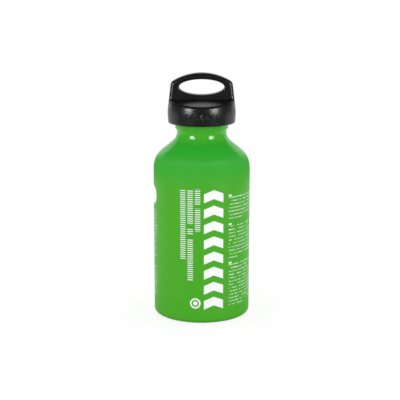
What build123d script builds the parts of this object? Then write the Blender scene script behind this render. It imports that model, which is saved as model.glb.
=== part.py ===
from build123d import *
from math import acos, atan2, cos, hypot, pi, radians, sin, sqrt, tan
import os

# A camping fuel bottle with a push and turn screw cap.
# Millimetres, +Z up, the origin in the middle of the base.
# The handle's loop is open along Y, and the front of the bottle faces -Y.

# How far a cutting shape runs past what it cuts
overrun = 2.0

# Bottle body, one piece of impact-extruded aluminium
body_radius = 33.5
body_wall = 1.0
straight_height = 103.3
base_wall = 1.6
base_edge_radius = 3.0
foot_width = 3.0
punt_depth = 3.5
punt_flat_radius = 4.0
shoulder_radius = 16.6
neck_sweep_radius = 8.3
waist_rise = 24.95
rim_rise = 9.9
bore_radius = 13.6
neck_wall = 3.6
lip_wall = 4.8
flare_radius = 4.0
lip_edge_radius = 0.8
throat_drop = 1.5
throat_sweep_radius = 7.5
mouth_gap = 0.2
mouth_depth = 1.2

# Screw thread between the plug and the neck
thread_pitch = 3.0
thread_depth = 1.5
thread_crest_width = 0.7
thread_root_width = 1.5
thread_gap = 0.25
thread_length = 12.0

# Threaded plug, moulded, carried loosely inside the cap
stem_tip = 0.6
stem_wall = 2.35
plug_web = 1.6
flange_thickness = 1.8
flange_overhang = 2.8
flange_edge_radius = 0.4
vent_width = 2.6
vent_depth = 0.6

# Seal ring, squeezed flat between the rim and the flange
seal_thickness = 2.2
seal_width = 3.6
seal_edge_radius = 0.8
seal_gap = 0.3

# Clutch between the plug and the cap shell
clutch_teeth = 12
tooth_width = 3.4
tooth_length = 3.6
tooth_inset = 1.1
drive_tooth_height = 1.7
tooth_root = 0.5
clutch_gap = 0.5
press_travel = 1.5
press_reserve = 0.2

# Return spring, wound from steel wire
spring_radius = 6.4
wire_diameter = 1.2
spring_turns = 4.5
spring_length = 9.3
spring_pocket_gap = 0.6
spring_end_gap = 0.05
spigot_gap = 0.5
spigot_length = 1.6

# Cap shell, moulded in one piece with its handle
skirt_wall = 2.0
skirt_fit = 0.3
skirt_overlap = 3.7
skirt_edge_radius = 1.4
skirt_belly_rise = 7.2
skirt_curve_radius = 30.0
foot_lean_degrees = 3.5
side_lean_degrees = 6.8
bead_reach = 1.2
bead_height = 1.2
bead_slope_height = 1.8
bead_gap = 0.3
roof_thickness = 2.0
roof_rise = 3.2
roof_root_radius = 1.5

# Handle on top of the cap shell
handle_rise = 21.35
handle_thickness = 9.6
arch_radius = 38.0
arch_corner_radius = 3.5
outline_edge_radius = 2.2
loop_width = 31.1
loop_height = 10.7
loop_drop = 9.6
loop_edge_radius = 0.7
panel_depth = 0.9
panel_rim = 2.6
panel_rise = 5.2
panel_top_corner = 2.2
panel_bottom_corner = 0.8

# Heights and radii that follow from the sizes above
waist_radius = bore_radius + neck_wall
lip_radius = bore_radius + lip_wall
mouth_radius = bore_radius + thread_depth + mouth_gap
waist_height = straight_height + waist_rise
rim_height = waist_height + rim_rise
mouth_bottom = rim_height - mouth_depth
thread_bottom = rim_height - thread_length
stem_radius = bore_radius - thread_gap
stem_bottom = thread_bottom - stem_tip
seal_top = rim_height + seal_thickness
flange_top = seal_top + flange_thickness
flange_radius = lip_radius + flange_overhang
tooth_height = press_travel + press_reserve - clutch_gap
tooth_outer_radius = flange_radius - tooth_inset
drive_tooth_bottom = flange_top + tooth_height + clutch_gap
ceiling_height = drive_tooth_bottom + drive_tooth_height
spring_floor = ceiling_height - spring_length
skirt_bore_radius = flange_radius + skirt_fit
skirt_belly_radius = skirt_bore_radius + skirt_wall
skirt_bottom = rim_height - skirt_overlap
skirt_belly_height = skirt_bottom + skirt_belly_rise
roof_edge_height = ceiling_height + roof_thickness
handle_top = roof_edge_height + handle_rise
loop_centre_height = handle_top - loop_drop
panel_bottom = roof_edge_height + panel_rise


def turned(outline):
    """Spin a closed outline of radius and height about the bottle's axis."""
    return revolve(Plane.XZ * make_face(outline), axis=Axis.Z)


def closed_line(points):
    """Join points of radius and height with straight lines into a ring."""
    return Polyline(*points, close=True)


def arc_point(centre, radius, angle):
    """A point of a circle, at an angle in radians from the direction of +X."""
    return (centre[0] + radius * cos(angle), centre[1] + radius * sin(angle))


def round_arc(centre, radius, start, end):
    """An arc of a circle between two angles in radians."""
    middle = (start + end) / 2
    return ThreePointArc(*(arc_point(centre, radius, angle) for angle in (start, middle, end)))


def thread_ridge(root_radius, root_width, crest_radius, crest_width, bottom, top):
    """A right-handed helical ridge, as a trapezium drawn in the axial plane."""
    path = Helix(pitch=thread_pitch, height=top - bottom, radius=root_radius)
    section = Plane.XZ * make_face(closed_line([
        (root_radius, -root_width / 2),
        (crest_radius, -crest_width / 2),
        (crest_radius, crest_width / 2),
        (root_radius, root_width / 2),
    ]))
    return Pos(0, 0, bottom) * sweep(section, path=path, is_frenet=True)


def slope_between(lower_centre, lower_radius, upper_centre, upper_radius):
    """Angle of the line that touches a convex arc below and a concave arc above."""
    across = upper_centre[0] - lower_centre[0]
    up = upper_centre[1] - lower_centre[1]
    return atan2(up, across) - acos((lower_radius + upper_radius) / hypot(across, up))


def make_bottle_body():
    """Thin wall and shoulder, a thick threaded neck and a domed base on a ring foot."""
    foot_outer = body_radius - base_edge_radius
    foot_inner = foot_outer - foot_width
    dome_reach = foot_inner - punt_flat_radius
    dome_radius = (dome_reach ** 2 + punt_depth ** 2) / (2 * punt_depth)
    dome_centre = (punt_flat_radius, punt_depth - dome_radius)
    dome_angle = acos(dome_reach / dome_radius)
    shoulder_centre = (body_radius - shoulder_radius, straight_height)
    sweep_centre = (waist_radius + neck_sweep_radius, waist_height)
    slope = slope_between(shoulder_centre, shoulder_radius, sweep_centre, neck_sweep_radius)
    flare_centre = (waist_radius + flare_radius, waist_height)
    flare_end = pi - acos((flare_centre[0] - lip_radius) / flare_radius)
    lip_centre = (lip_radius - lip_edge_radius, rim_height - lip_edge_radius)
    lead_bottom = mouth_bottom - mouth_radius + bore_radius
    outer = [
        Line((0, punt_depth), (punt_flat_radius, punt_depth)),
        round_arc(dome_centre, dome_radius, pi / 2, dome_angle),
        Line((foot_inner, 0), (foot_outer, 0)),
        round_arc((foot_outer, base_edge_radius), base_edge_radius, -pi / 2, 0),
        Line((body_radius, base_edge_radius), (body_radius, straight_height)),
        round_arc(shoulder_centre, shoulder_radius, 0, slope),
        Line(arc_point(shoulder_centre, shoulder_radius, slope),
             arc_point(sweep_centre, neck_sweep_radius, slope + pi)),
        round_arc(sweep_centre, neck_sweep_radius, slope + pi, pi),
        round_arc(flare_centre, flare_radius, pi, flare_end),
        Line(arc_point(flare_centre, flare_radius, flare_end), (lip_radius, lip_centre[1])),
        round_arc(lip_centre, lip_edge_radius, 0, pi / 2),
    ]
    wall_radius = body_radius - body_wall
    heel_radius = base_edge_radius - body_wall
    throat_centre = (bore_radius + throat_sweep_radius, waist_height - throat_drop)
    inner_shoulder_radius = shoulder_radius - body_wall
    inner_slope = slope_between(
        shoulder_centre, inner_shoulder_radius, throat_centre, throat_sweep_radius)
    floor_radius = dome_radius + base_wall
    floor_angle = acos(dome_reach / floor_radius)
    floor_edge = arc_point(dome_centre, floor_radius, floor_angle)
    heel_centre = (wall_radius - heel_radius, floor_edge[1] + heel_radius)
    inner = [
        Line((lip_centre[0], rim_height), (mouth_radius, rim_height)),
        Line((mouth_radius, rim_height), (mouth_radius, mouth_bottom)),
        Line((mouth_radius, mouth_bottom), (bore_radius, lead_bottom)),
        Line((bore_radius, lead_bottom), (bore_radius, throat_centre[1])),
        round_arc(throat_centre, throat_sweep_radius, pi, inner_slope + pi),
        Line(arc_point(throat_centre, throat_sweep_radius, inner_slope + pi),
             arc_point(shoulder_centre, inner_shoulder_radius, inner_slope)),
        round_arc(shoulder_centre, inner_shoulder_radius, inner_slope, 0),
        Line((wall_radius, straight_height), (wall_radius, heel_centre[1])),
        round_arc(heel_centre, heel_radius, 0, -pi / 2),
        Line((heel_centre[0], floor_edge[1]), floor_edge),
        round_arc(dome_centre, floor_radius, floor_angle, pi / 2),
        Line((punt_flat_radius, punt_depth + base_wall), (0, punt_depth + base_wall)),
        Line((0, punt_depth + base_wall), (0, punt_depth)),
    ]
    groove = thread_ridge(
        bore_radius - thread_gap,
        thread_root_width + 2 * thread_gap,
        bore_radius + thread_depth,
        thread_crest_width + 2 * thread_gap,
        thread_bottom - thread_pitch / 2,
        mouth_bottom)
    return turned(outer + inner) - Rot(0, 0, 180) * groove


def clutch_ring(bottom, height, start_angle):
    """The clutch's teeth, standing in a ring from one height up."""
    tooth = Pos(tooth_outer_radius - tooth_length, 0, bottom) * Box(
        tooth_length, tooth_width, height, align=(Align.MIN, Align.CENTER, Align.MIN))
    return PolarLocations(0, clutch_teeth, start_angle=start_angle) * tooth


def make_threaded_plug():
    """Hollow threaded stem under a flange, with clutch teeth round a spring pocket."""
    pocket_radius = spring_radius + wire_diameter / 2 + spring_pocket_gap
    web_bottom = spring_floor - plug_web
    blank = turned(closed_line([
        (0, web_bottom),
        (stem_radius - stem_wall, web_bottom),
        (stem_radius - stem_wall, stem_bottom),
        (stem_radius, stem_bottom),
        (stem_radius, seal_top),
        (flange_radius - flange_edge_radius, seal_top),
        (flange_radius, seal_top + flange_edge_radius),
        (flange_radius, flange_top - flange_edge_radius),
        (flange_radius - flange_edge_radius, flange_top),
        (pocket_radius, flange_top),
        (pocket_radius, spring_floor),
        (0, spring_floor),
    ]))
    ridge = thread_ridge(
        stem_radius - thread_gap,
        thread_root_width,
        bore_radius + thread_depth - thread_gap,
        thread_crest_width,
        thread_bottom,
        mouth_bottom)
    thread_zone = Pos(0, 0, stem_bottom) * Cylinder(
        bore_radius + thread_depth, thread_length,
        align=(Align.CENTER, Align.CENTER, Align.MIN))
    vent = Pos(0, vent_depth - stem_radius, stem_bottom - overrun) * Box(
        vent_width, vent_depth + thread_depth + overrun, overrun + stem_tip + thread_length,
        align=(Align.CENTER, Align.MAX, Align.MIN))
    teeth = clutch_ring(flange_top - tooth_root, tooth_root + tooth_height, 0)
    return blank + (ridge & thread_zone) - vent + teeth


def make_seal_ring():
    """Rubber ring with a rounded rectangular section, lying on the flat of the rim."""
    inner_radius = stem_radius + seal_gap
    width = seal_width
    section = Pos(inner_radius + width / 2, rim_height + seal_thickness / 2) * RectangleRounded(
        width, seal_thickness, seal_edge_radius)
    return revolve(Plane.XZ * section, axis=Axis.Z)


def make_clutch_spring():
    """One unbroken coil of round wire, standing between the plug and the ceiling."""
    free_height = ceiling_height - spring_floor - wire_diameter - 2 * spring_end_gap
    coil_pitch = free_height / spring_turns
    path = Helix(pitch=coil_pitch, height=free_height, radius=spring_radius)
    wire = Plane(origin=path @ 0, z_dir=path % 0) * Circle(wire_diameter / 2)
    print("spring: gap between turns", round(coil_pitch - wire_diameter, 2))
    start_height = spring_floor + wire_diameter / 2 + spring_end_gap
    return Pos(0, 0, start_height) * sweep(wire, path=path, is_frenet=True)


def side_radius(height):
    """Radius of the cap's side at a height above its belly, where the side is straight."""
    lean = radians(side_lean_degrees)
    centre = (skirt_belly_radius - skirt_curve_radius, skirt_belly_height)
    upper = arc_point(centre, skirt_curve_radius, lean)
    return upper[0] - tan(lean) * (height - upper[1])


def side_outline():
    """Side of the cap: it leans out to a soft belly, then in and straight up the handle."""
    lean = radians(side_lean_degrees)
    foot_lean = radians(foot_lean_degrees)
    centre = (skirt_belly_radius - skirt_curve_radius, skirt_belly_height)
    lower = arc_point(centre, skirt_curve_radius, -foot_lean)
    upper = arc_point(centre, skirt_curve_radius, lean)
    top = (side_radius(handle_top), handle_top)
    foot_height = skirt_bottom + skirt_edge_radius
    foot = (lower[0] - tan(foot_lean) * (lower[1] - foot_height), foot_height)
    foot_centre = (foot[0] - skirt_edge_radius, foot_height)
    return [
        Line((0, skirt_bottom), (foot_centre[0], skirt_bottom)),
        round_arc(foot_centre, skirt_edge_radius, -pi / 2, 0),
        Line(foot, lower),
        round_arc(centre, skirt_curve_radius, -foot_lean, lean),
        Line(upper, top),
        Line(top, (0, handle_top)),
        Line((0, handle_top), (0, skirt_bottom)),
    ]


def arch_outline(inset, half_width, bottom, lean=0):
    """Flat region under the handle's arch, set in from it, with sides that may lean inwards."""
    centre = (0, handle_top - arch_radius)
    radius = arch_radius - inset
    slope = tan(lean)
    reach = half_width + slope * (bottom - centre[1])
    root = sqrt(radius ** 2 * (1 + slope ** 2) - reach ** 2)
    rise = (reach * slope + root) / (1 + slope ** 2)
    half_angle = atan2(rise, reach - slope * rise)
    left_end = arc_point(centre, radius, pi - half_angle)
    right_end = arc_point(centre, radius, half_angle)
    return make_face([
        round_arc(centre, radius, half_angle, pi - half_angle),
        Line(left_end, (-half_width, bottom)),
        Line((-half_width, bottom), (half_width, bottom)),
        Line((half_width, bottom), right_end),
    ])


def roof_cut():
    """What is cut away behind the handle, down to the sloping roof of the cap."""
    half = handle_thickness / 2
    reach = skirt_belly_radius + overrun
    slope = roof_rise / (skirt_belly_radius - half)
    root = (half, roof_edge_height + roof_rise)
    face = make_face(closed_line([
        root,
        (reach, root[1] - slope * (reach - half)),
        (reach, handle_top + overrun),
        (half, handle_top + overrun),
    ]))
    corner = face.vertices().sort_by_distance((root[0], root[1], 0))[0]
    return extrude(Plane.YZ * fillet(corner, roof_root_radius), amount=reach, both=True)


def handle_form():
    """Skirt and handle: a turned blank, cut by the arch and by two sloping roofs."""
    half = handle_thickness / 2
    reach = skirt_belly_radius + overrun
    arch = extrude(
        Plane.XZ * arch_outline(0, reach, skirt_bottom - overrun), amount=reach, both=True)
    roof = roof_cut()
    blank = (turned(side_outline()) & arch) - roof - mirror(roof, about=Plane.XZ)
    corners = blank.edges().filter_by(
        lambda edge: edge.center().Z > panel_bottom
        and abs(edge.center().X) > loop_width / 2
        and edge.bounding_box().size.Y > edge.bounding_box().size.Z)
    blank = fillet(corners, arch_corner_radius)
    outline = blank.edges().filter_by(
        lambda edge: edge.center().Z > ceiling_height
        and abs(edge.center().Y) > half / 2
        and edge.bounding_box().size.Z > roof_root_radius / 2)
    return fillet(outline, outline_edge_radius)


def panel_cut():
    """The shallow panel sunk into the face of the handle, inside its raised rim."""
    half = handle_thickness / 2
    half_width = sqrt(side_radius(panel_bottom) ** 2 - half ** 2) - panel_rim
    face = arch_outline(panel_rim, half_width, panel_bottom, radians(side_lean_degrees))
    upper = face.vertices().sort_by(Axis.Y)[-2:]
    face = fillet(upper, panel_top_corner)
    lower = face.vertices().sort_by(Axis.Y)[:2]
    face = fillet(lower, panel_bottom_corner)
    return Pos(0, -half, 0) * extrude(Plane.XZ * face, amount=-panel_depth)


def make_cap_shell():
    """Skirt with a snap bead, ceiling with clutch teeth, and the arched handle."""
    shell = handle_form()
    panel = panel_cut()
    shell = shell - panel - mirror(panel, about=Plane.XZ)
    loop = extrude(
        Plane.XZ * Pos(0, loop_centre_height) * Ellipse(loop_width / 2, loop_height / 2),
        amount=handle_thickness, both=True)
    shell = shell - loop
    loop_edges = shell.edges().filter_by(
        lambda edge: edge.is_closed and edge.center().Z > roof_edge_height)
    shell = fillet(loop_edges, loop_edge_radius)
    bead_top = seal_top - bead_gap
    bead_bottom = bead_top - bead_height
    bead_radius = skirt_bore_radius - bead_reach
    cavity = turned(closed_line([
        (0, skirt_bottom - overrun),
        (skirt_bore_radius, skirt_bottom - overrun),
        (skirt_bore_radius, bead_bottom - bead_slope_height),
        (bead_radius, bead_bottom),
        (bead_radius, bead_top),
        (skirt_bore_radius, bead_top),
        (skirt_bore_radius, ceiling_height),
        (0, ceiling_height),
    ]))
    spigot = Pos(0, 0, ceiling_height - spigot_length) * Cylinder(
        spring_radius - wire_diameter / 2 - spigot_gap,
        spigot_length + tooth_root,
        align=(Align.CENTER, Align.CENTER, Align.MIN))
    half_step = 180 / clutch_teeth
    teeth = clutch_ring(drive_tooth_bottom, drive_tooth_height + tooth_root, half_step)
    return shell - cavity + spigot + teeth


os.makedirs("parts", exist_ok=True)
nodes = {
    "bottle_body": make_bottle_body,
    "threaded_plug": make_threaded_plug,
    "seal_ring": make_seal_ring,
    "clutch_spring": make_clutch_spring,
    "cap_shell": make_cap_shell,
}
for name, make in nodes.items():
    solid = make()
    solid.label = name
    export_step(solid, f"parts/{name}.step")
    print(name, "volume", round(solid.volume / 1000, 2), "cm3")
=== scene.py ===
import math

import bmesh
import bpy
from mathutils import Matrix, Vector
from mathutils.bvhtree import BVHTree


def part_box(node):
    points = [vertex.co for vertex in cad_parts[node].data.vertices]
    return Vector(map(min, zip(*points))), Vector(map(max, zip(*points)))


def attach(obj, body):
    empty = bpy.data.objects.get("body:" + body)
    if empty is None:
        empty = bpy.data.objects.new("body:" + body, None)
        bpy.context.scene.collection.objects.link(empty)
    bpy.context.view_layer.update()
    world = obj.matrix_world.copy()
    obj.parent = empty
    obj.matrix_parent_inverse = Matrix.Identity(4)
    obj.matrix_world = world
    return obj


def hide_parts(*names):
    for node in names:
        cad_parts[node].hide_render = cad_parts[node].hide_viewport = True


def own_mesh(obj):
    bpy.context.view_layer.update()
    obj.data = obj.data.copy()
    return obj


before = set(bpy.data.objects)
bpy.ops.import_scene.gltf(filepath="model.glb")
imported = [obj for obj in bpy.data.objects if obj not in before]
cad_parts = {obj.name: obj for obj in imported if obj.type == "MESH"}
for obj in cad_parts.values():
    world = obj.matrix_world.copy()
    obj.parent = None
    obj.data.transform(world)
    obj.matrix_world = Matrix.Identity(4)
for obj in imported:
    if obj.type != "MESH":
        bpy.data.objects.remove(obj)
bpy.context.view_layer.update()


# Bottle body. One slug of aluminium, impact extruded and drawn in at the neck, with its thread cut inside.
# Outside it has a stoved lacquer, which the eye sees as an even green under a thin clear gloss;
# inside, on the lip and where the foot ring has rubbed, the metal is bare.
mm_per_metre = 1000.0
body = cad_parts["bottle_body"]
body_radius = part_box("bottle_body")[1].x * mm_per_metre
rim_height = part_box("bottle_body")[1].z * mm_per_metre


def linear(code):
    """A colour written as an sRGB hex value, as linear red, green, blue and alpha."""
    channels = [int(code[i:i + 2], 16) / 255 for i in (1, 3, 5)]
    return [c / 12.92 if c <= 0.04045 else ((c + 0.055) / 1.055) ** 2.4 for c in channels] + [1.0]


def add_node(tree, kind, inputs=(), **settings):
    """Adds a node to a tree. A socket among the inputs is linked, and anything else is set as the value."""
    node = tree.nodes.new(kind)
    for name, value in settings.items():
        setattr(node, name, value)
    for key, value in dict(inputs).items():
        if isinstance(value, bpy.types.NodeSocket):
            tree.links.new(value, node.inputs[key])
        else:
            node.inputs[key].default_value = value
    return node


def new_material(name):
    """An empty node material, its tree and its output node."""
    material = bpy.data.materials.new(name)
    material.use_nodes = True
    material.node_tree.nodes.clear()
    return material, material.node_tree, add_node(material.node_tree, "ShaderNodeOutputMaterial")


lacquered, tree, output = new_material("stoved_green_lacquer_on_aluminium")
coords = add_node(tree, "ShaderNodeTexCoord")
place = add_node(tree, "ShaderNodeVectorMath", {
    0: coords.outputs["Object"], 3: mm_per_metre}, operation="SCALE").outputs[0]
split = add_node(tree, "ShaderNodeSeparateXYZ", {0: place})
height = split.outputs["Z"]

# The print is laid out on the unrolled wall, in millimetres to the right of the front and up from the base.
forwards = add_node(tree, "ShaderNodeMath", {0: split.outputs["Y"], 1: -1.0}, operation="MULTIPLY")
angle = add_node(tree, "ShaderNodeMath", {
    0: split.outputs["X"], 1: forwards.outputs[0]}, operation="ARCTAN2")
around = add_node(tree, "ShaderNodeMath", {
    0: angle.outputs[0], 1: body_radius}, operation="MULTIPLY").outputs[0]
unrolled = add_node(tree, "ShaderNodeCombineXYZ", {"X": around, "Y": height}).outputs[0]


def rounded_patch(left, right, bottom, top, corner, point=None):
    """1 inside a rectangle with rounded corners on the unrolled wall, 0 outside it."""
    centre = ((left + right) / 2, (bottom + top) / 2, 0)
    core = ((right - left) / 2 - corner, (top - bottom) / 2 - corner, 0)
    steps = add_node(tree, "ShaderNodeVectorMath", {0: point or unrolled, 1: centre}, operation="SUBTRACT")
    steps = add_node(tree, "ShaderNodeVectorMath", {0: steps.outputs[0]}, operation="ABSOLUTE")
    steps = add_node(tree, "ShaderNodeVectorMath", {0: steps.outputs[0], 1: core}, operation="SUBTRACT")
    steps = add_node(tree, "ShaderNodeVectorMath", {0: steps.outputs[0], 1: (0, 0, 0)}, operation="MAXIMUM")
    steps = add_node(tree, "ShaderNodeVectorMath", {0: steps.outputs[0]}, operation="LENGTH")
    inside = add_node(tree, "ShaderNodeMath", {0: steps.outputs["Value"], 1: corner}, operation="LESS_THAN")
    return inside.outputs[0]


def join(masks, operation="MAXIMUM"):
    """Several masks taken together."""
    total = masks[0]
    for mask in masks[1:]:
        total = add_node(tree, "ShaderNodeMath", {0: total, 1: mask}, operation=operation).outputs[0]
    return total


# A broad column of chevrons, pointing up towards the mouth. Both its ends follow the chevrons' own slope.
sharp_corner = 0.1
band_left, band_right, band_bottom, band_top = 1.5, 15.1, 10.3, 93.5
chevrons, chevron_gap, chevron_rise = 8, 4.5, 0.40
band_middle = (band_left + band_right) / 2
band_drop = chevron_rise * (band_right - band_left) / 2
chevron_pitch = (band_top - band_bottom - band_drop + chevron_gap) / chevrons
from_middle = add_node(tree, "ShaderNodeMath", {0: around, 1: band_middle}, operation="SUBTRACT")
from_middle = add_node(tree, "ShaderNodeMath", {0: from_middle.outputs[0]}, operation="ABSOLUTE")
slanted = add_node(tree, "ShaderNodeMath", {
    0: from_middle.outputs[0], 1: chevron_rise, 2: height}, operation="MULTIPLY_ADD").outputs[0]
steps = add_node(tree, "ShaderNodeMath", {0: slanted, 1: band_bottom + band_drop}, operation="SUBTRACT")
steps = add_node(tree, "ShaderNodeMath", {0: steps.outputs[0], 1: 1 / chevron_pitch}, operation="MULTIPLY")
steps = add_node(tree, "ShaderNodeMath", {0: steps.outputs[0]}, operation="FRACT")
chevron = add_node(tree, "ShaderNodeMath", {
    0: steps.outputs[0], 1: 1 - chevron_gap / chevron_pitch}, operation="LESS_THAN").outputs[0]
slanted_place = add_node(tree, "ShaderNodeCombineXYZ", {"X": around, "Y": slanted}).outputs[0]
band = rounded_patch(
    band_left, band_right, band_bottom + band_drop, band_top, sharp_corner, slanted_place)
printed = [join([band, chevron], "MULTIPLY")]

# Three scales of short bars beside it, each in one or more runs: left and right edge, lower and upper end.
bar_pitch, bar_share, bar_corner = 1.47, 0.38, 0.3
runs = [
    (-14.95, -11.2, 45.3, 93.6),
    (-9.85, -5.95, 30.3, 60.2), (-9.85, -5.95, 62.4, 67.4), (-9.85, -5.95, 69.6, 94.0),
    (-4.65, -0.95, 65.0, 81.0), (-4.65, -0.95, 83.2, 94.2),
]
bar_phase = add_node(tree, "ShaderNodeMath", {0: height, 1: 1 / bar_pitch}, operation="MULTIPLY").outputs[0]
bars = add_node(tree, "ShaderNodeMath", {0: bar_phase}, operation="FRACT").outputs[0]
bars = add_node(tree, "ShaderNodeMath", {0: bars, 1: bar_share}, operation="LESS_THAN").outputs[0]
for left, right, bottom, top in runs:
    printed.append(join([rounded_patch(left, right, bottom, top, bar_corner), bars], "MULTIPLY"))

# A small ring with a dot in it, near the foot.
ring_centre, ring_radius, ring_line, dot_radius = (-4.4, 14.6, 0), 3.65, 1.05, 1.5
reach = add_node(tree, "ShaderNodeVectorMath", {0: unrolled, 1: ring_centre}, operation="DISTANCE")
reach = reach.outputs["Value"]
ring = add_node(tree, "ShaderNodeMath", {
    0: reach, 1: ring_radius - ring_line / 2, 2: ring_line / 2}, operation="COMPARE")
dot = add_node(tree, "ShaderNodeMath", {0: reach, 1: dot_radius}, operation="LESS_THAN")
printed += [ring.outputs[0], dot.outputs[0]]

# Blocks of fine strokes in rows, like a ledger's lines: left, right, lower and upper end of each block,
# and how far its last row runs. The strokes are 0.15 mm apart and stand in groups of uneven length.
# A short bold bar stands over the first row. Each row and each block reads the noise in a place of its own.
row_pitch, row_share = 2.4, 0.33
stroke_pitch, stroke_cover = 0.15, 0.53
group_length, group_cover = 2.8, 0.38
row_shift, block_shift = 7.3, 1.7
blocks = [
    (19.3, 50.5, 72.6, 89.4, 33.0), (19.4, 50.5, 45.1, 69.5, 27.6), (19.6, 50.5, 11.6, 42.4, 34.6),
    (-62.0, -39.6, 40.0, 76.0, -48.0), (-62.0, -39.6, 11.6, 36.5, -52.0),
]
fine = []
for left, right, bottom, top, last_row_end in blocks:
    rows = round((top - bottom) / row_pitch)
    block = rounded_patch(left, right, bottom, top, sharp_corner)
    tail = rounded_patch(
        last_row_end, right + row_pitch, bottom - row_pitch, bottom + row_pitch, sharp_corner)
    ragged = add_node(tree, "ShaderNodeMath", {0: block, 1: tail}, operation="SUBTRACT", use_clamp=True)
    row = add_node(tree, "ShaderNodeMath", {0: height, 1: bottom}, operation="SUBTRACT")
    row = add_node(tree, "ShaderNodeMath", {
        0: row.outputs[0], 1: rows / (top - bottom)}, operation="MULTIPLY").outputs[0]
    row_number = add_node(tree, "ShaderNodeMath", {0: row}, operation="FLOOR").outputs[0]
    in_row = add_node(tree, "ShaderNodeMath", {0: row}, operation="FRACT").outputs[0]
    in_row = add_node(tree, "ShaderNodeMath", {0: in_row, 1: row_share}, operation="LESS_THAN").outputs[0]
    spot = add_node(tree, "ShaderNodeCombineXYZ", {"X": around, "Y": row_number, "Z": top}).outputs[0]
    masks = [ragged.outputs[0], in_row]
    for length, cover in ((stroke_pitch, stroke_cover), (group_length, group_cover)):
        stretched = add_node(tree, "ShaderNodeVectorMath", {
            0: spot, 1: (1 / length, row_shift, block_shift)}, operation="MULTIPLY")
        uneven = add_node(tree, "ShaderNodeTexNoise", {
            "Vector": stretched.outputs[0], "Scale": 1.0, "Detail": 0.0})
        masks.append(add_node(tree, "ShaderNodeMath", {
            0: uneven.outputs["Fac"], 1: cover}, operation="GREATER_THAN").outputs[0])
    fine.append(join(masks, "MULTIPLY"))
    fine.append(rounded_patch(left, left + row_pitch, top - row_pitch / 2, top, bar_corner))

# A plain white panel on the left side, whose edge just shows from the front.
panel_left, panel_right, panel_bottom, panel_top, panel_corner = -62.0, -39.9, 79.2, 91.6, 6.0
printed.append(rounded_patch(panel_left, panel_right, panel_bottom, panel_top, panel_corner))
ink = join(printed + fine)

# From the shoulder up into the hollow below the neck the green is painted deeper and cooler: painted shade,
# which offsets the sheen there. Towards the lip it is painted brighter: painted light against the cap's
# shade.
# It also pools and thins a little all over, in patches about 30 mm across.
pool_scale = 0.03
shoulder_start, hollow_start, hollow_end, lip_start = 90.0, 112.0, 120.0, 128.0
depth = add_node(tree, "ShaderNodeTexNoise", {"Vector": place, "Scale": pool_scale, "Detail": 2.0})
shoulder_painted_shade = add_node(tree, "ShaderNodeMapRange", {
    "Value": height, "From Min": shoulder_start, "From Max": hollow_start},
    interpolation_type="SMOOTHSTEP").outputs[0]
lip_painted_light = add_node(tree, "ShaderNodeMapRange", {
    "Value": height, "From Min": hollow_end, "From Max": lip_start},
    interpolation_type="SMOOTHSTEP").outputs[0]
wall_green = add_node(tree, "ShaderNodeMix", {
    "Factor": depth.outputs["Fac"], "A": linear("#42A81A"), "B": linear("#4AAC1F")}, data_type="RGBA")
# Painted shade: a deeper, cooler green from the shoulder into the hollow.
green = add_node(tree, "ShaderNodeMix", {
    "Factor": shoulder_painted_shade, "A": wall_green.outputs["Result"], "B": linear("#2DA62A")}, data_type="RGBA")
# Painted light: a brighter green towards the lip, against the shade under the cap.
green = add_node(tree, "ShaderNodeMix", {
    "Factor": lip_painted_light, "A": green.outputs["Result"], "B": linear("#49B62C")}, data_type="RGBA")
painted = add_node(tree, "ShaderNodeMix", {
    "Factor": ink, "A": green.outputs["Result"], "B": linear("#F5F6F6")}, data_type="RGBA")

# Orange peel about 1.5 mm across, far shallower than it is wide. The ink lies 0.02 mm proud of it.
# The thick lacquer in the neck's hollow has flowed out glossy. The wall is half glossy, and the shoulder,
# where the spray lands at a slant, is the dullest. There the thin lacquer also mirrors less.
peel_scale, peel_depth, ink_depth = 0.65, 0.05, 0.02
peel_on_wall, peel_on_neck = 0.10, 0.015
dull_start, dull_end, flow_start, flow_end = 93.0, 104.0, 109.0, 115.0
rough_wall, rough_shoulder, rough_neck, rough_ink = 0.40, 0.78, 0.10, 0.5
thick_ior, thin_ior = 1.47, 1.3
peel = add_node(tree, "ShaderNodeTexNoise", {"Vector": place, "Scale": peel_scale, "Detail": 1.0})
peel_strength = add_node(tree, "ShaderNodeMapRange", {
    "Value": height, "From Min": hollow_start, "From Max": hollow_end,
    "To Min": peel_on_wall, "To Max": peel_on_neck})
peel_bump = add_node(tree, "ShaderNodeBump", {
    "Strength": peel_strength.outputs[0], "Distance": peel_depth / mm_per_metre,
    "Height": peel.outputs["Fac"]})
ink_bump = add_node(tree, "ShaderNodeBump", {
    "Strength": 0.5, "Distance": ink_depth / mm_per_metre, "Height": ink, "Normal": peel_bump.outputs[0]})
wall_roughness = add_node(tree, "ShaderNodeMapRange", {
    "Value": height, "From Min": dull_start, "From Max": dull_end,
    "To Min": rough_wall, "To Max": rough_shoulder})
neck_roughness = add_node(tree, "ShaderNodeMapRange", {
    "Value": height, "From Min": flow_start, "From Max": flow_end,
    "To Min": wall_roughness.outputs[0], "To Max": rough_neck})
lacquer_roughness = add_node(tree, "ShaderNodeMapRange", {
    "Value": ink, "To Min": neck_roughness.outputs[0], "To Max": rough_ink})
thick_lacquer, thin_lacquer = [add_node(tree, "ShaderNodeBsdfPrincipled", {
    "Base Color": painted.outputs["Result"], "Roughness": lacquer_roughness.outputs[0], "IOR": ior,
    "Normal": ink_bump.outputs[0]}) for ior in (thick_ior, thin_ior)]
in_neck = add_node(tree, "ShaderNodeMapRange", {
    "Value": height, "From Min": flow_start, "From Max": flow_end})
lacquer = add_node(tree, "ShaderNodeMixShader", {
    0: in_neck.outputs[0], 1: thin_lacquer.outputs[0], 2: thick_lacquer.outputs[0]})

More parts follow.
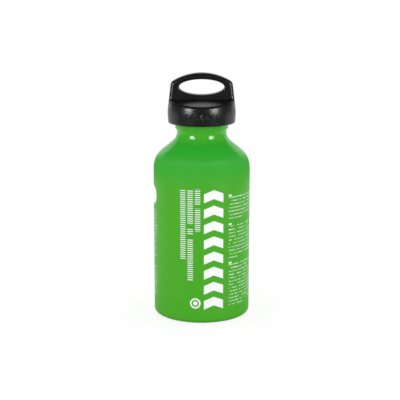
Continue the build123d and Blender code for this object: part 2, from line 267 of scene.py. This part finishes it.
# Bare aluminium shows faint turning lines 0.4 mm apart, which run round the axis.
line_pitch, line_length, line_depth = 0.4, 20.0, 0.03
lines = add_node(tree, "ShaderNodeVectorMath", {
    0: place, 1: (1 / line_length, 1 / line_length, 1 / line_pitch)}, operation="MULTIPLY")
lines = add_node(tree, "ShaderNodeTexNoise", {"Vector": lines.outputs[0], "Scale": 1.0, "Detail": 3.0})
metal_bump = add_node(tree, "ShaderNodeBump", {
    "Strength": 0.25, "Distance": line_depth / mm_per_metre, "Height": lines.outputs["Fac"]})
metal_roughness = add_node(tree, "ShaderNodeMapRange", {
    "Value": lines.outputs["Fac"], "To Min": 0.28, "To Max": 0.46})
metal = add_node(tree, "ShaderNodeBsdfPrincipled", {
    "Base Color": linear("#E6E8EA"), "Metallic": 1.0, "Roughness": metal_roughness.outputs[0],
    "Normal": metal_bump.outputs[0]})

# Lacquer lies where the surface faces away from the axis, and under the foot. It ends half a millimetre
# below the rim, and the foot ring has rubbed through in places, up to half a millimetre high.
lacquer_end, dome_height = rim_height - 0.5, 4.6
facing_out, facing_down = 0.02, -0.3
rub_scale, rub_start, rub_full, rub_reach = 0.35, 0.35, 0.75, 0.55
facing = add_node(tree, "ShaderNodeSeparateXYZ", {0: coords.outputs["Normal"]})
outward = add_node(tree, "ShaderNodeVectorMath", {0: place, 1: (1, 1, 0)}, operation="MULTIPLY")
outward = add_node(tree, "ShaderNodeVectorMath", {0: outward.outputs[0]}, operation="NORMALIZE")
outward = add_node(tree, "ShaderNodeVectorMath", {
    0: outward.outputs[0], 1: coords.outputs["Normal"]}, operation="DOT_PRODUCT")
outside = add_node(tree, "ShaderNodeMath", {
    0: outward.outputs["Value"], 1: facing_out}, operation="GREATER_THAN")
below = add_node(tree, "ShaderNodeMath", {0: facing.outputs["Z"], 1: facing_down}, operation="LESS_THAN")
low = add_node(tree, "ShaderNodeMath", {0: height, 1: dome_height}, operation="LESS_THAN")
under_foot = join([below.outputs[0], low.outputs[0]], "MULTIPLY")
under_lip = add_node(tree, "ShaderNodeMath", {0: height, 1: lacquer_end}, operation="LESS_THAN")
rub = add_node(tree, "ShaderNodeTexNoise", {"Vector": place, "Scale": rub_scale, "Detail": 4.0})
rub_height = add_node(tree, "ShaderNodeMapRange", {
    "Value": rub.outputs["Fac"], "From Min": rub_start, "From Max": rub_full,
    "To Min": 0.0, "To Max": rub_reach})
unrubbed = add_node(tree, "ShaderNodeMath", {0: height, 1: rub_height.outputs[0]}, operation="GREATER_THAN")
covered = join([outside.outputs[0], under_foot])
coated = join([covered, under_lip.outputs[0], unrubbed.outputs[0]], "MULTIPLY")
skin = add_node(tree, "ShaderNodeMixShader", {0: coated, 1: metal.outputs[0], 2: lacquer.outputs[0]})
tree.links.new(skin.outputs[0], output.inputs["Surface"])
body.material_slots[0].material = lacquered


# Seal ring. A ring of fuel-resistant nitrile rubber, moulded and tumbled, which lies on the rim round the
# plug's stem. Rubber of this kind is a dull black with a faint bloom on it, in patches about 2 mm across.
bloom_scale, rubber_grain_scale, rubber_grain_depth = 0.5, 6.0, 0.03
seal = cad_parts["seal_ring"]
rubber, tree, output = new_material("moulded_nitrile_rubber")
coords = add_node(tree, "ShaderNodeTexCoord")
place = add_node(tree, "ShaderNodeVectorMath", {
    0: coords.outputs["Object"], 3: mm_per_metre}, operation="SCALE").outputs[0]
bloom = add_node(tree, "ShaderNodeTexNoise", {"Vector": place, "Scale": bloom_scale, "Detail": 4.0})
black = add_node(tree, "ShaderNodeMix", {
    "Factor": bloom.outputs["Fac"], "A": linear("#161617"), "B": linear("#2C2C2E")}, data_type="RGBA")
grain = add_node(tree, "ShaderNodeTexNoise", {"Vector": place, "Scale": rubber_grain_scale, "Detail": 2.0})
bump = add_node(tree, "ShaderNodeBump", {
    "Strength": 0.35, "Distance": rubber_grain_depth / mm_per_metre, "Height": grain.outputs["Fac"]})
roughness = add_node(tree, "ShaderNodeMapRange", {
    "Value": bloom.outputs["Fac"], "To Min": 0.62, "To Max": 0.82})
shader = add_node(tree, "ShaderNodeBsdfPrincipled", {
    "Base Color": black.outputs["Result"], "Roughness": roughness.outputs[0], "IOR": 1.52,
    "Normal": bump.outputs[0]})
tree.links.new(shader.outputs[0], output.inputs["Surface"])
seal.material_slots[0].material = rubber


# Threaded plug. Glass-filled polyamide, injection moulded, screwed into the neck and driven by the cap's
# teeth. The filler leaves it matte, a dark grey with fine flow streaks 0.6 mm wide and 4 mm long.
streak_width, streak_length, plug_grain_scale, plug_grain_depth = 0.625, 4.0, 4.0, 0.03
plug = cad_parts["threaded_plug"]
filled, tree, output = new_material("glass_filled_polyamide")
coords = add_node(tree, "ShaderNodeTexCoord")
place = add_node(tree, "ShaderNodeVectorMath", {
    0: coords.outputs["Object"], 3: mm_per_metre}, operation="SCALE").outputs[0]
streaks = add_node(tree, "ShaderNodeVectorMath", {
    0: place, 1: (1 / streak_width, 1 / streak_width, 1 / streak_length)}, operation="MULTIPLY")
streaks = add_node(tree, "ShaderNodeTexNoise", {
    "Vector": streaks.outputs[0], "Scale": 1.0, "Detail": 4.0, "Distortion": 0.8})
grey = add_node(tree, "ShaderNodeMix", {
    "Factor": streaks.outputs["Fac"], "A": linear("#232426"), "B": linear("#38393B")}, data_type="RGBA")
grain = add_node(tree, "ShaderNodeTexNoise", {"Vector": place, "Scale": plug_grain_scale, "Detail": 3.0})
bump = add_node(tree, "ShaderNodeBump", {
    "Strength": 0.3, "Distance": plug_grain_depth / mm_per_metre, "Height": grain.outputs["Fac"]})
roughness = add_node(tree, "ShaderNodeMapRange", {
    "Value": streaks.outputs["Fac"], "To Min": 0.45, "To Max": 0.65})
shader = add_node(tree, "ShaderNodeBsdfPrincipled", {
    "Base Color": grey.outputs["Result"], "Roughness": roughness.outputs[0], "IOR": 1.53,
    "Normal": bump.outputs[0]})
tree.links.new(shader.outputs[0], output.inputs["Surface"])
plug.material_slots[0].material = filled


# Clutch spring. A coil of cold-drawn stainless spring wire, which stands in the plug's pocket, round the
# shell's spigot. Drawing leaves fine lines along the wire, so it glints softly.
draw_line_scale, draw_line_depth = 9.0, 0.01
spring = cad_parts["clutch_spring"]
wire, tree, output = new_material("drawn_stainless_spring_wire")
coords = add_node(tree, "ShaderNodeTexCoord")
place = add_node(tree, "ShaderNodeVectorMath", {
    0: coords.outputs["Object"], 3: mm_per_metre}, operation="SCALE").outputs[0]
split = add_node(tree, "ShaderNodeSeparateXYZ", {0: place})
sideways = add_node(tree, "ShaderNodeVectorMath", {0: place, 1: (1, 1, 0)}, operation="MULTIPLY")
sideways = add_node(tree, "ShaderNodeVectorMath", {0: sideways.outputs[0]}, operation="LENGTH")
drawn = add_node(tree, "ShaderNodeCombineXYZ", {"X": sideways.outputs["Value"], "Y": split.outputs["Z"]})
drawn = add_node(tree, "ShaderNodeTexNoise", {
    "Vector": drawn.outputs[0], "Scale": draw_line_scale, "Detail": 3.0})
steel = add_node(tree, "ShaderNodeMix", {
    "Factor": drawn.outputs["Fac"], "A": linear("#9A9C9E"), "B": linear("#C6C8CA")}, data_type="RGBA")
roughness = add_node(tree, "ShaderNodeMapRange", {
    "Value": drawn.outputs["Fac"], "To Min": 0.22, "To Max": 0.38})
bump = add_node(tree, "ShaderNodeBump", {
    "Strength": 0.2, "Distance": draw_line_depth / mm_per_metre, "Height": drawn.outputs["Fac"]})
shader = add_node(tree, "ShaderNodeBsdfPrincipled", {
    "Base Color": steel.outputs["Result"], "Metallic": 1.0, "Roughness": roughness.outputs[0],
    "Normal": bump.outputs[0]})
tree.links.new(shader.outputs[0], output.inputs["Surface"])
spring.material_slots[0].material = wire

# The coil that is shown is a copy of the solid's, welded and shaded smooth. The spring itself shortens as
# the shell is pressed down.
weld_distance, sharp_angle = 0.000001, math.radians(40)
coil_mesh = bpy.data.meshes.new("spring_coil")
mesh = bmesh.new()
mesh.from_mesh(spring.data)
bmesh.ops.remove_doubles(mesh, verts=mesh.verts[:], dist=weld_distance)
for face in mesh.faces:
    face.smooth = True
mesh.to_mesh(coil_mesh)
mesh.free()
coil_mesh.set_sharp_from_angle(angle=sharp_angle)
coil_mesh.materials.append(wire)
coil = bpy.data.objects.new("spring_coil", coil_mesh)
bpy.context.scene.collection.objects.link(coil)
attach(coil, "spring")
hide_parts("clutch_spring")
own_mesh(coil)


# Cap shell. Polyamide moulded in one piece with its carrying handle, pressed down and turned to drive the
# plug. The mould was fine sparked and then wiped bright, so the black is half glossy, with a soft grain
# and a thin witness line where the two halves of the mould met.
flow_scale, shell_grain_scale, shell_grain_depth = 0.08, 3.5, 0.03
witness_half_width, witness_depth = 0.07, 0.04
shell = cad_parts["cap_shell"]
moulded, tree, output = new_material("moulded_black_polyamide")
coords = add_node(tree, "ShaderNodeTexCoord")
place = add_node(tree, "ShaderNodeVectorMath", {
    0: coords.outputs["Object"], 3: mm_per_metre}, operation="SCALE").outputs[0]
split = add_node(tree, "ShaderNodeSeparateXYZ", {0: place})
flow = add_node(tree, "ShaderNodeTexNoise", {"Vector": place, "Scale": flow_scale, "Detail": 3.0})
black = add_node(tree, "ShaderNodeMix", {
    "Factor": flow.outputs["Fac"], "A": linear("#0B0B0C"), "B": linear("#121213")}, data_type="RGBA")
grain = add_node(tree, "ShaderNodeTexNoise", {"Vector": place, "Scale": shell_grain_scale, "Detail": 3.0})
grain_bump = add_node(tree, "ShaderNodeBump", {
    "Strength": 0.22, "Distance": shell_grain_depth / mm_per_metre, "Height": grain.outputs["Fac"]})
witness = add_node(tree, "ShaderNodeMath", {
    0: split.outputs["Y"], 1: 0.0, 2: witness_half_width}, operation="COMPARE")
witness_bump = add_node(tree, "ShaderNodeBump", {
    "Strength": 0.6, "Distance": witness_depth / mm_per_metre, "Height": witness.outputs[0],
    "Normal": grain_bump.outputs[0]})
roughness = add_node(tree, "ShaderNodeMapRange", {
    "Value": flow.outputs["Fac"], "To Min": 0.24, "To Max": 0.31})
shader = add_node(tree, "ShaderNodeBsdfPrincipled", {
    "Base Color": black.outputs["Result"], "Roughness": roughness.outputs[0], "IOR": 1.53,
    "Normal": witness_bump.outputs[0]})
tree.links.new(shader.outputs[0], output.inputs["Surface"])
shell.material_slots[0].material = moulded

# Turning marks. Seven chevrons stand proud of the skirt, front and back, in one piece with it, and point
# the way that screws the cap shut. Their edges are rounded, as the mould's engraving leaves them.
mark_height, mark_relief, mark_sink, mark_round = 0.1411, 0.00055, 0.0004, 0.00025
marks, mark_pitch, arm_half_height, arm_width, arm_slant = 7, 0.0036, 0.0020, 0.0009, 0.0015
skirt_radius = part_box("cap_shell")[1].x
skirt = BVHTree.FromPolygons(
    [vertex.co for vertex in shell.data.vertices], [face.vertices for face in shell.data.polygons])
chevron_outline = [
    (0, 0), (arm_slant, arm_half_height), (arm_slant + arm_width, arm_half_height),
    (arm_width, 0), (arm_slant + arm_width, -arm_half_height), (arm_slant, -arm_half_height),
]
first_mark = -((marks - 1) * mark_pitch + arm_slant + arm_width) / 2
for side, face_angle in (("front", 0.0), ("back", math.pi)):
    mesh = bmesh.new()
    for mark in range(marks):
        tip = first_mark + mark * mark_pitch
        mesh.faces.new([mesh.verts.new((tip + x, mark_sink, z)) for x, z in chevron_outline])
    raised = bmesh.ops.extrude_face_region(mesh, geom=mesh.faces[:])["geom"]
    tops = [part for part in raised if isinstance(part, bmesh.types.BMFace)]
    raised_corners = [part for part in raised if isinstance(part, bmesh.types.BMVert)]
    bmesh.ops.translate(mesh, verts=raised_corners, vec=(0, -mark_sink - mark_relief, 0))
    rims = list({edge for top in tops for edge in top.edges})
    bmesh.ops.bevel(
        mesh, geom=rims, offset=mark_round, affect="EDGES", segments=2, profile=0.5, material=-1)
    for vertex in mesh.verts:
        turn = face_angle + vertex.co.x / skirt_radius
        outwards = Vector((math.sin(turn), -math.cos(turn), 0))
        start = outwards * 2 * skirt_radius + Vector((0, 0, mark_height + vertex.co.z))
        vertex.co = skirt.ray_cast(start, -outwards)[0] - outwards * vertex.co.y
    bmesh.ops.recalc_face_normals(mesh, faces=mesh.faces[:])
    mark_mesh = bpy.data.meshes.new("turning_marks_" + side)
    mesh.to_mesh(mark_mesh)
    mesh.free()
    marks_piece = bpy.data.objects.new("turning_marks_" + side, mark_mesh)
    bpy.context.scene.collection.objects.link(marks_piece)
    mark_mesh.materials.append(moulded)
    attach(marks_piece, "shell")


# Camera. It looks down on the bottle by 12 degrees from 0.76 m, as the photograph does.
frame_width, sensor_width = 400.0, 36.0
camera_distance, camera_pitch = 0.76, math.radians(12)
target = Vector((-0.00116, 0, 0.07983))
pixels_per_metre = 1426.5
camera_data = bpy.data.cameras.new("camera")
camera_data.sensor_width = sensor_width
camera_data.lens = pixels_per_metre * camera_distance / frame_width * sensor_width
camera = bpy.data.objects.new("camera", camera_data)
back_off = Vector((0, -math.cos(camera_pitch), math.sin(camera_pitch))) * camera_distance
camera.location = target + back_off
camera.rotation_euler = (math.pi / 2 - camera_pitch, 0, 0)
bpy.context.scene.collection.objects.link(camera)
bpy.context.scene.camera = camera


# Floor and light. A white table stands in a light tent, whose five panels light the bottle alike from all
# sides. What the lacquer and the black cap mirror is plainer: the white backdrop, a dim room on the
# camera's side, and two softboxes that stand left and right of the camera, a little above the bottle.
backdrop_light, room_light, table_gloss, table_white = 0.80, 0.06, 0.02, 1.03
table_half_side, table_front, table_back, glow_share = 3.4, -0.12, 0.10, 0.80
floor_mesh = bpy.data.meshes.new("floor")
mesh = bmesh.new()
bmesh.ops.create_grid(mesh, x_segments=1, y_segments=1, size=table_half_side)
mesh.to_mesh(floor_mesh)
mesh.free()
floor = bpy.data.objects.new("floor", floor_mesh)
bpy.context.scene.collection.objects.link(floor)
table, tree, output = new_material("pale_table")
path = add_node(tree, "ShaderNodeLightPath")
coords = add_node(tree, "ShaderNodeTexCoord")
split = add_node(tree, "ShaderNodeSeparateXYZ", {0: coords.outputs["Object"]})
in_gloss = add_node(tree, "ShaderNodeMapRange", {
    "Value": split.outputs["Y"], "From Min": table_front, "From Max": table_back,
    "To Min": table_gloss, "To Max": backdrop_light}, interpolation_type="SMOOTHSTEP")
strength = add_node(tree, "ShaderNodeMapRange", {
    "Value": path.outputs["Is Camera Ray"], "To Min": in_gloss.outputs[0], "To Max": table_white})
seen = add_node(tree, "ShaderNodeMath", {
    0: path.outputs["Is Camera Ray"], 1: path.outputs["Is Glossy Ray"]}, operation="MAXIMUM")
share = add_node(tree, "ShaderNodeMath", {0: seen.outputs[0], 1: glow_share}, operation="MULTIPLY")
matte = add_node(tree, "ShaderNodeBsdfDiffuse", {"Color": linear("#E8E8E8")})
glow = add_node(tree, "ShaderNodeEmission", {"Color": linear("#FFFFFF"), "Strength": strength.outputs[0]})
shader = add_node(tree, "ShaderNodeMixShader", {
    0: share.outputs[0], 1: matte.outputs[0], 2: glow.outputs[0]})
tree.links.new(shader.outputs[0], output.inputs["Surface"])
floor_mesh.materials.append(table)

# The backdrop fills the back of the room and ends overhead. The camera sees white all round.
overhead_fall, backdrop_edge, backdrop_full = -0.5, 0.50, 0.66
world = bpy.data.worlds.new("studio")
bpy.context.scene.world = world
world.use_nodes = True
world.cycles_visibility.diffuse = False
tree = world.node_tree
tree.nodes.clear()
path = add_node(tree, "ShaderNodeLightPath")
coords = add_node(tree, "ShaderNodeTexCoord")
split = add_node(tree, "ShaderNodeSeparateXYZ", {0: coords.outputs["Generated"]})
overhead = add_node(tree, "ShaderNodeMath", {
    0: split.outputs["Z"], 1: split.outputs["Z"]}, operation="MULTIPLY")
backward = add_node(tree, "ShaderNodeMath", {
    0: overhead.outputs[0], 1: overhead_fall, 2: split.outputs["Y"]}, operation="MULTIPLY_ADD")
around_room = add_node(tree, "ShaderNodeMapRange", {
    "Value": backward.outputs[0], "From Min": backdrop_edge, "From Max": backdrop_full,
    "To Min": room_light, "To Max": backdrop_light}, interpolation_type="SMOOTHSTEP")
seen = add_node(tree, "ShaderNodeMath", {
    0: path.outputs["Is Camera Ray"], 1: path.outputs["Is Transmission Ray"]}, operation="MAXIMUM")
strength = add_node(tree, "ShaderNodeMapRange", {
    "Value": seen.outputs[0], "To Min": around_room.outputs[0], "To Max": 1.0})
sky = add_node(tree, "ShaderNodeBackground", {
    "Color": linear("#FFFFFF"), "Strength": strength.outputs[0]})
add_node(tree, "ShaderNodeOutputWorld", {"Surface": sky.outputs[0]})


def add_lamp(name, centre, towards, width, height, radiance):
    """An area lamp that stands in the given direction from a centre and shines back at it."""
    data = bpy.data.lights.new(name, "AREA")
    data.shape = "RECTANGLE"
    data.size, data.size_y = width, height
    data.energy = radiance * math.pi * width * height
    lamp = bpy.data.objects.new(name, data)
    lamp.location = centre + towards
    lamp.rotation_euler = towards.to_track_quat("Z", "Y").to_euler()
    lamp.visible_camera = False
    bpy.context.scene.collection.objects.link(lamp)
    return lamp


tent_side, tent_light = 7.0, 1.18
tent_centre = Vector((0, 0, tent_side / 2))
tent_panels = [(0, 0, 1)] + [(x, y, 0) for x, y in ((0, -1), (1, 0), (0, 1), (-1, 0))]
for direction in tent_panels:
    towards = Vector(direction) * tent_side / 2
    panel = add_lamp("tent_panel", tent_centre, towards, tent_side, tent_side, tent_light)
    panel.visible_glossy = False

lit_height = 0.126
softbox_width, softbox_height, softbox_distance, softbox_radiance = 0.31, 0.40, 0.9, 14.5
softbox_swing, softbox_rise = math.radians(44.5), math.radians(15)
for side in (-1, 1):
    towards = Vector((side * math.sin(softbox_swing) * math.cos(softbox_rise),
                      -math.cos(softbox_swing) * math.cos(softbox_rise), math.sin(softbox_rise)))
    softbox = add_lamp("softbox", Vector((0, 0, lit_height)), towards * softbox_distance,
                       softbox_width, softbox_height, softbox_radiance)
    softbox.visible_diffuse = False

bpy.context.scene.view_settings.view_transform = "Standard"
